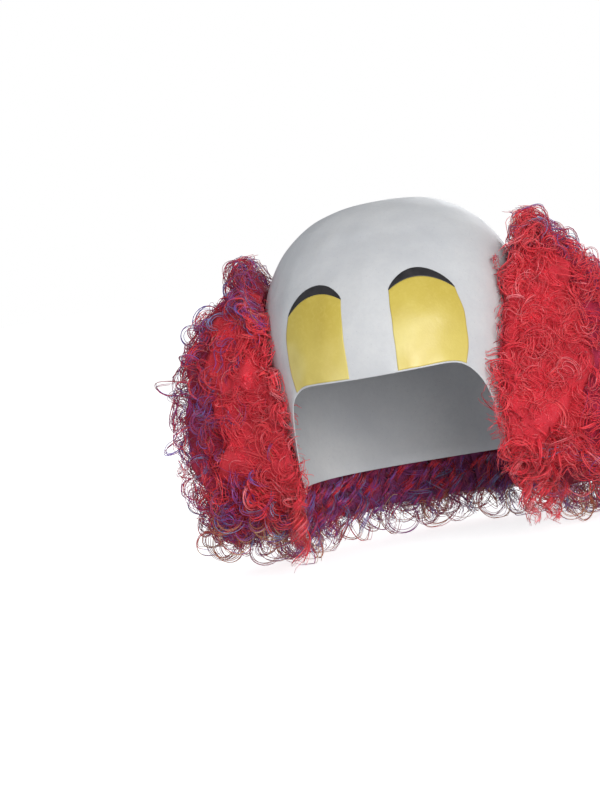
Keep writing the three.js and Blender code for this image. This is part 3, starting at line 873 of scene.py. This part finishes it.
def flow_paths(number, kind, rng):
    """Wavy locks that run along the surface: each bends one way and then the other."""
    locks = lock_places(number, kind, rng)
    planes = lock_planes(kind, rng, locks)
    lock, many, t = locks.of_fibre, locks.fibres, locks.t
    length = rng.uniform(*kind.radius, kind.locks)[lock] * rng.uniform(0.85, 1.1, many)
    length = np.minimum(length, 22.0 + 1.2 * hair_lift(locks.angle, locks.share)[lock])
    swing = rng.uniform(0.8, 1.9, kind.locks)[lock] * rng.uniform(0.9, 1.1, many)
    turns = rng.uniform(*kind.turns, kind.locks)[lock][:, None]
    phase = rng.uniform(0, 6.3, kind.locks)[lock] + rng.normal(0, 0.3, many)
    bend = (rng.normal(0, 1.3, kind.locks)[lock] + rng.normal(0, 0.4, many))[:, None]
    heading = bend * (t - 0.5) + swing[:, None] * np.sin(2 * np.pi * turns * t + phase[:, None])
    step = length[:, None] / kind.steps
    across = np.cumsum(np.cos(heading) * step, axis=1)
    along = np.cumsum(np.sin(heading) * step, axis=1)
    beside = np.tile(np.linspace(-1, 1, kind.fibres), kind.locks) * 3.4
    beside = (beside + rng.normal(0, 1.3, many))[:, None] * (0.5 + 0.5 * np.sin(np.pi * t))
    across = across - across[:, kind.steps // 2, None] - np.sin(heading) * beside
    along = along - along[:, kind.steps // 2, None] + np.cos(heading) * beside
    return laid_paths(kind, rng, locks, planes, across, along)


def drape_paths(number, kind, rng):
    """Soft waves that hang from the lowest stitches, seen from inside below the cap's edge."""
    side = rng.uniform(0, 1, kind.locks)
    locks = gather(kind, side, np.full(kind.locks, DRAPE_SHARE),
                   weft_angle(number + side, DRAPE_DEPTH), None)
    low = edge_depth(weft_angle(number + side, NAPE_DEPTH)) - 10.0
    lock, many, t = locks.of_fibre, locks.fibres, locks.t
    end = rng.uniform(*DRAPE_ENDS, kind.locks)[lock] + rng.normal(0, 1.5, many)
    depth = lerp(low[lock][:, None], end[:, None], t)
    turns = rng.uniform(*kind.turns, kind.locks)[lock][:, None]
    phase = rng.uniform(0, 6.3, kind.locks)[lock] + rng.normal(0, 0.3, many)
    size = rng.uniform(*kind.radius, kind.locks)[lock][:, None] * ease(t, 0.0, 0.3)
    swing = phase[:, None] + 2 * np.pi * turns * t * 1.5
    place = side[lock] + rng.normal(0, 0.035, many)
    sway = np.degrees(size * np.cos(swing) / CAP_HALF_WIDTH)
    angle = weft_angle(number + place[:, None], depth) + sway
    lean = rng.uniform(*kind.reach, kind.locks)[lock][:, None] * DRAPE_LEAN * t * t
    lift = 2.4 + rng.uniform(0, 1.4, many)[:, None] + lean + size * (1 + np.sin(swing))
    points = np.clip(ring_point(angle, depth, lift), LOW_LIMIT, HIGH_LIMIT)
    ray = np.broadcast_to(unit(np.cross(np.gradient(points, axis=1), [0, 0, 1.0])), points.shape)
    thick = rng.uniform(*kind.thickness, many)[:, None] * (1 - 0.4 * t * t)
    return (points, ray, thick), locks


def pick(rng, options, count):
    """Colours drawn by their weights."""
    weights = list(options.values())
    return rng.choice(list(options), count, p=np.array(weights) / sum(weights))


def lock_tones(kind, rng, locks):
    """Three colours for each fibre: near its root, along it and at its tip. Dark roots are painted
    shade, pink middles and tips are painted highlight, and rust and tan are painted backlight.
    """
    share, angle, lock, many = locks.share, locks.angle, locks.of_fibre, locks.fibres
    turn = from_front(angle)
    later = np.where(angle < 180.0, RIGHT_RED_ANGLE, 0.0)
    violet = 0.9 * ease(turn - later, 62.0, 79.0) + 0.02
    violet = violet + 0.45 * ease(share, 0.8, 1.0) * ease(turn, 66.0, 90.0)
    on_top = np.where(angle < 180.0, 0.0, 0.45)
    violet = violet + on_top * (1 - ease(share, 0.0, 0.14))
    if kind in (LOOPS, FRIZZ):
        violet = violet + 0.35 * ease(turn - later, 56.0, 66.0)
    cool = (rng.uniform(0, 1, len(share)) < violet)[lock]

    def by_lock(options):
        chosen = pick(rng, options, len(share))[lock]
        own = pick(rng, options, many)
        return np.where(rng.uniform(0, 1, many) < 0.3, own, chosen)

    if kind in (SWIRLS, FLOWS):
        warm_root = by_lock({CRIMSON: 0.35, RED: 0.5, BRIGHT: 0.15})
        cool_root = by_lock({CRIMSON: 0.4, PLUM: 0.4, PURPLE: 0.2})
    else:
        # Dark red near the roots is painted shade, deep in the mass.
        warm_root = by_lock({PAINTED_SHADE_RED: 0.6, CRIMSON: 0.4})
        cool_root = by_lock({PAINTED_SHADE_RED: 0.45, PLUM: 0.55})
    # Pink in the middles and tips is painted highlight.
    warm_mid = by_lock({CRIMSON: 0.2, RED: 0.5, BRIGHT: 0.25, PAINTED_HIGHLIGHT_PINK: 0.05})
    warm_tip = by_lock({CRIMSON: 0.1, RED: 0.36, BRIGHT: 0.3, PAINTED_HIGHLIGHT_PINK: 0.24})
    cool_mid = by_lock({CRIMSON: 0.28, PLUM: 0.3, PURPLE: 0.26, VIOLET: 0.1, SLATE: 0.06})
    cool_tip = by_lock({CRIMSON: 0.16, PLUM: 0.22, PURPLE: 0.3, VIOLET: 0.16, SLATE: 0.12, PAINTED_BACKLIT_RUST: 0.04})
    # Rust and tan on the low outer loops are painted backlight, standing for light through thin red
    # fibres.
    backlit_share = ease(share, 0.8, 0.92) * ease(turn, 64.0, 74.0)
    backlit_share = backlit_share[lock] * (rng.uniform(0, 1, many) < 0.6)
    if kind is LOOPS:
        cool_mid = np.where(backlit_share > 0.5, PAINTED_BACKLIT_RUST, cool_mid)
        cool_tip = np.where(backlit_share > 0.5, PAINTED_BACKLIT_TAN, cool_tip)
    # Frizz also takes rust and tan: painted backlight.
    if kind is FRIZZ:
        cool_mid = by_lock({PLUM: 0.3, PURPLE: 0.3, SLATE: 0.12, PAINTED_BACKLIT_RUST: 0.16, PAINTED_BACKLIT_TAN: 0.12})
        cool_tip = by_lock({PLUM: 0.2, PURPLE: 0.3, SLATE: 0.2, PAINTED_BACKLIT_RUST: 0.16, PAINTED_BACKLIT_TAN: 0.14})
    return (np.where(cool, cool_root, warm_root), np.where(cool, cool_mid, warm_mid),
            np.where(cool, cool_tip, warm_tip))


def tube_mesh(points, ray, thick):
    """Closed three-sided tubes along each row of points."""
    many, rings = points.shape[:2]
    heading = unit(np.gradient(points, axis=1))
    first = unit(ray - dot(ray, heading) * heading)
    second = np.cross(heading, first)
    turn = np.arange(TUBE_SIDES) * 2 * np.pi / TUBE_SIDES
    wide = thick[..., None, None]
    vertices = points[:, :, None] + wide * (
        first[:, :, None] * np.cos(turn)[:, None] + second[:, :, None] * np.sin(turn)[:, None])
    fibre, ring, side = np.meshgrid(np.arange(many), np.arange(rings - 1), np.arange(TUBE_SIDES),
                                    indexing="ij")
    base = (fibre * rings + ring) * TUBE_SIDES
    after = (side + 1) % TUBE_SIDES
    quads = np.stack([base + side, base + after, base + after + TUBE_SIDES,
                      base + side + TUBE_SIDES], -1).reshape(-1, 4)
    start = np.arange(many) * rings * TUBE_SIDES
    end = start + (rings - 1) * TUBE_SIDES
    caps = np.concatenate([np.stack([start + 2, start + 1, start], -1),
                           np.stack([end, end + 1, end + 2], -1)])
    return vertices.reshape(-1, 3), quads, caps


def tube_slots(tones, rings, rng):
    """The colour of each quad, changing at two places along each fibre, then of the end caps."""
    root, middle, tip = (tone[:, None] for tone in tones)
    many = len(root)
    step = np.arange(rings - 1)[None] / (rings - 1)
    early = rng.uniform(0.15, 0.4, (many, 1))
    late = rng.uniform(0.6, 0.95, (many, 1))
    slots = np.where(step < early, root, np.where(step < late, middle, tip))
    return np.concatenate([np.repeat(slots.ravel(), TUBE_SIDES), tones[0], tones[2]])


STUBS, STUB_STEPS, STUB_DEPTHS, STUB_DROP = 260, 7, (48.0, 140.0), 1.2
# Stub colours; the dark red among them is painted shade.
STUB_DYES_AND_SHADE = {PAINTED_SHADE_RED: 0.25, CRIMSON: 0.4, RED: 0.25, PLUM: 0.1}


def stub_paths(number, rng):
    """Short bristly ends that lean forward from the hairline onto the bare latex."""
    depth = np.sort(rng.uniform(*STUB_DEPTHS, STUBS))
    front = hairline_angle(depth) + rng.normal(0.8, 1.0, STUBS)
    toward = -1.0
    if number != 0:
        front, toward = 360.0 - front, 1.0
    lift = rng.uniform(0.5, 6.0, STUBS)
    root = cap_point(front, depth, lift)
    out, along = cap_directions(front, depth)
    length = rng.uniform(2.5, 7.0, STUBS) + 1.5 * ease(depth, 90.0, 120.0)
    way = unit(along * toward + out * rng.uniform(0.1, 0.8, (STUBS, 1))
               + rng.normal(0, 0.35, (STUBS, 3)))
    curl = unit(np.cross(way, out)) * rng.normal(0, 1.6, (STUBS, 1))
    t = np.linspace(0, 1, STUB_STEPS + 1)[None, :, None]
    points = (root[:, None] + way[:, None] * length[:, None, None] * t
              + curl[:, None] * t * t - [0, 0, 1] * (t * t * STUB_DROP))
    ray = np.broadcast_to(out[:, None], points.shape)
    thick = np.repeat(rng.uniform(0.24, 0.34, (STUBS, 1)), STUB_STEPS + 1, 1)
    tones = [pick(rng, STUB_DYES_AND_SHADE, STUBS) for _ in range(3)]
    return (points, ray, thick * (1 - 0.5 * t[..., 0])), tones


def join_tubes(parts, rng):
    """One mesh of every part's tubes, with the colour slot of each face."""
    meshes, count = [], 0
    for paths, tones in parts:
        points, quads, caps = tube_mesh(*paths)
        slots = np.split(tube_slots(tones, paths[0].shape[1], rng), [len(quads)])
        meshes.append((points, quads + count, caps + count, *slots))
        count += len(points)
    *mesh, slots, cap_slots = map(np.concatenate, zip(*meshes))
    return *mesh, np.concatenate([slots, cap_slots])


LAYERS = ((RINGLETS, fibre_paths), (SWIRLS, flat_paths), (FLOWS, flow_paths), (LOOPS, flat_paths),
          (FRIZZ, fibre_paths), (DRAPES, drape_paths))


def make_curls(number, materials):
    rng = np.random.default_rng(SEED + number)
    parts = []
    for kind, lay in LAYERS:
        paths, locks = lay(number, kind, rng)
        parts.append((paths, lock_tones(kind, rng, locks)))
    if from_temple(number) == 0:
        parts.append(stub_paths(number, rng))
    *mesh, slots = join_tubes(parts, rng)
    side, tail = weft_name(number)
    curls = add_object(f"{side}_curl_fibres{tail}", *mesh, materials, slots)
    slot = "red_hair" if from_temple(number) < RED_WEFTS_PER_SIDE else "violet_hair"
    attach(curls, "root")
    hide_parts(f"{side}_curls{tail}")
    return slot


UNDER_ROWS, UNDER_ACROSS, UNDER_SPAN, UNDER_REACH = 60, 18, (0.03, 0.92), 0.83
NAPE_HOLLOW, NAPE_HOLLOW_DEPTHS = 7.0, (168.0, 186.0)


def make_under_hair(number, material):
    """The dense hair inside the curls, as one lumpy closed body for each weft."""
    share = np.linspace(*UNDER_SPAN, UNDER_ROWS)[:, None]
    depth = hair_depth(weft_angle(number + 0.5, MIDDLE_DEPTH), share)
    low = weft_angle(number, depth) + CURLS_SIDE_GAP_ANGLE
    high = weft_angle(number + 1, depth) - CURLS_SIDE_GAP_ANGLE
    angle = lerp(low, high, np.linspace(0, 1, UNDER_ACROSS)[None])
    share = np.broadcast_to(share, angle.shape)
    depth = hair_depth(angle, share)
    inset = hair_inset(angle, share) + NAPE_HOLLOW * ease(depth, *NAPE_HOLLOW_DEPTHS)
    lift = hair_lift(angle, share) * UNDER_REACH * tufts(hair_point(angle, share))
    lift = np.maximum(lift, inset + 1.5)
    even = ring_point(angle, depth, lift)
    lumps = 4.2 * waves(even, 25.0, 61) + 1.4 * waves(even, 10.0, 67)
    lift = np.maximum(lift + lumps * ease(lift - inset, 2.0, 12.0), inset + 1.2)
    vertices, quads = shell_between(ring_point(angle, depth, lift), ring_point(angle, depth, inset))
    side, tail = weft_name(number)
    under = add_object(f"{side}_under_hair{tail}", vertices, quads[:, ::-1], materials=[material])
    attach(under, "root")


def make_hair():
    fibres = [fibre_look(*fibre_colour) for fibre_colour in FIBRE_DYES_AND_PAINTED_LIGHT]
    unders = {name: under_look(name, *dyes) for name, dyes in UNDER_DYES_AND_GLINTS.items()}
    tape = weft_look()
    for number in range(WEFT_COUNT):
        make_band(number, tape)
        slot = make_curls(number, fibres)
        mixed = slot == "red_hair" and from_temple(number) > 0
        make_under_hair(number, unders["mixed_hair" if mixed else slot])


# ---- the stage

def make_camera():
    azimuth, elevation, roll = map(math.radians, (CAMERA_AZIMUTH, CAMERA_ELEVATION, CAMERA_ROLL))
    right = Vector((math.cos(azimuth), math.sin(azimuth), 0))
    back = Vector((math.sin(azimuth) * math.cos(elevation),
                   -math.cos(azimuth) * math.cos(elevation), math.sin(elevation)))
    up = back.cross(right)
    target = Vector(CAMERA_TARGET)
    place = target + back * CAMERA_DISTANCE
    backward = (place - (target + right * AIM_RIGHT + up * AIM_UP)).normalized()
    picture_right = math.cos(roll) * right - math.sin(roll) * up
    picture_right = (picture_right - picture_right.dot(backward) * backward).normalized()
    picture_up = backward.cross(picture_right)
    data = bpy.data.cameras.new("camera")
    data.lens, data.sensor_width, data.sensor_fit = CAMERA_LENS, CAMERA_SENSOR, "AUTO"
    data.clip_start, data.clip_end = CAMERA_NEAR, CAMERA_FAR
    camera = bpy.data.objects.new("camera", data)
    turn = Matrix((picture_right, picture_up, backward)).transposed().to_4x4()
    camera.matrix_world = Matrix.Translation(place) @ turn
    bpy.context.scene.collection.objects.link(camera)
    bpy.context.scene.camera = camera


def make_lights():
    for name, place, size, power, colour in LIGHTS:
        data = bpy.data.lights.new(name, "AREA")
        data.shape, data.size, data.energy, data.color = "DISK", size, power, colour
        light = bpy.data.objects.new(name, data)
        light.location = place
        aim = Vector(LIGHT_AIM) - Vector(place)
        light.rotation_euler = aim.to_track_quat("-Z", "Y").to_euler()
        bpy.context.scene.collection.objects.link(light)


def make_world():
    world = bpy.data.worlds.new("studio")
    world.use_nodes = True
    tree = world.node_tree
    seen, soft = tree.nodes["Background"], tree.nodes.new("ShaderNodeBackground")
    seen.inputs["Color"].default_value = WHITE
    soft.inputs["Color"].default_value = SKY_COLOUR
    soft.inputs["Strength"].default_value = SKY_STRENGTH
    ray, blend = tree.nodes.new("ShaderNodeLightPath"), tree.nodes.new("ShaderNodeMixShader")
    tree.links.new(ray.outputs["Is Camera Ray"], blend.inputs[0])
    tree.links.new(soft.outputs[0], blend.inputs[1])
    tree.links.new(seen.outputs[0], blend.inputs[2])
    tree.links.new(blend.outputs[0], tree.nodes["World Output"].inputs["Surface"])
    bpy.context.scene.world = world


def make_floor():
    look = Look("pale floor", roughness=0.9, specular=0.1)
    look.colour([FLOOR_GREY] * 3)
    look.set("Emission Color", WHITE)
    look.set("Emission Strength", FLOOR_GLOW)
    half, height = FLOOR_HALF_WIDTH / MM, FLOOR_HEIGHT / MM
    corners = np.array([[-half, -half, height], [half, -half, height], [half, half, height],
                        [-half, half, height]])
    floor = add_object("floor", corners, np.array([[0, 1, 2, 3]]), materials=[look.material])
    floor.visible_diffuse = floor.visible_glossy = False


make_camera()
make_lights()
make_world()
make_floor()
make_cap()
make_paint()
make_hair()
bpy.context.scene.view_settings.view_transform = "Standard"
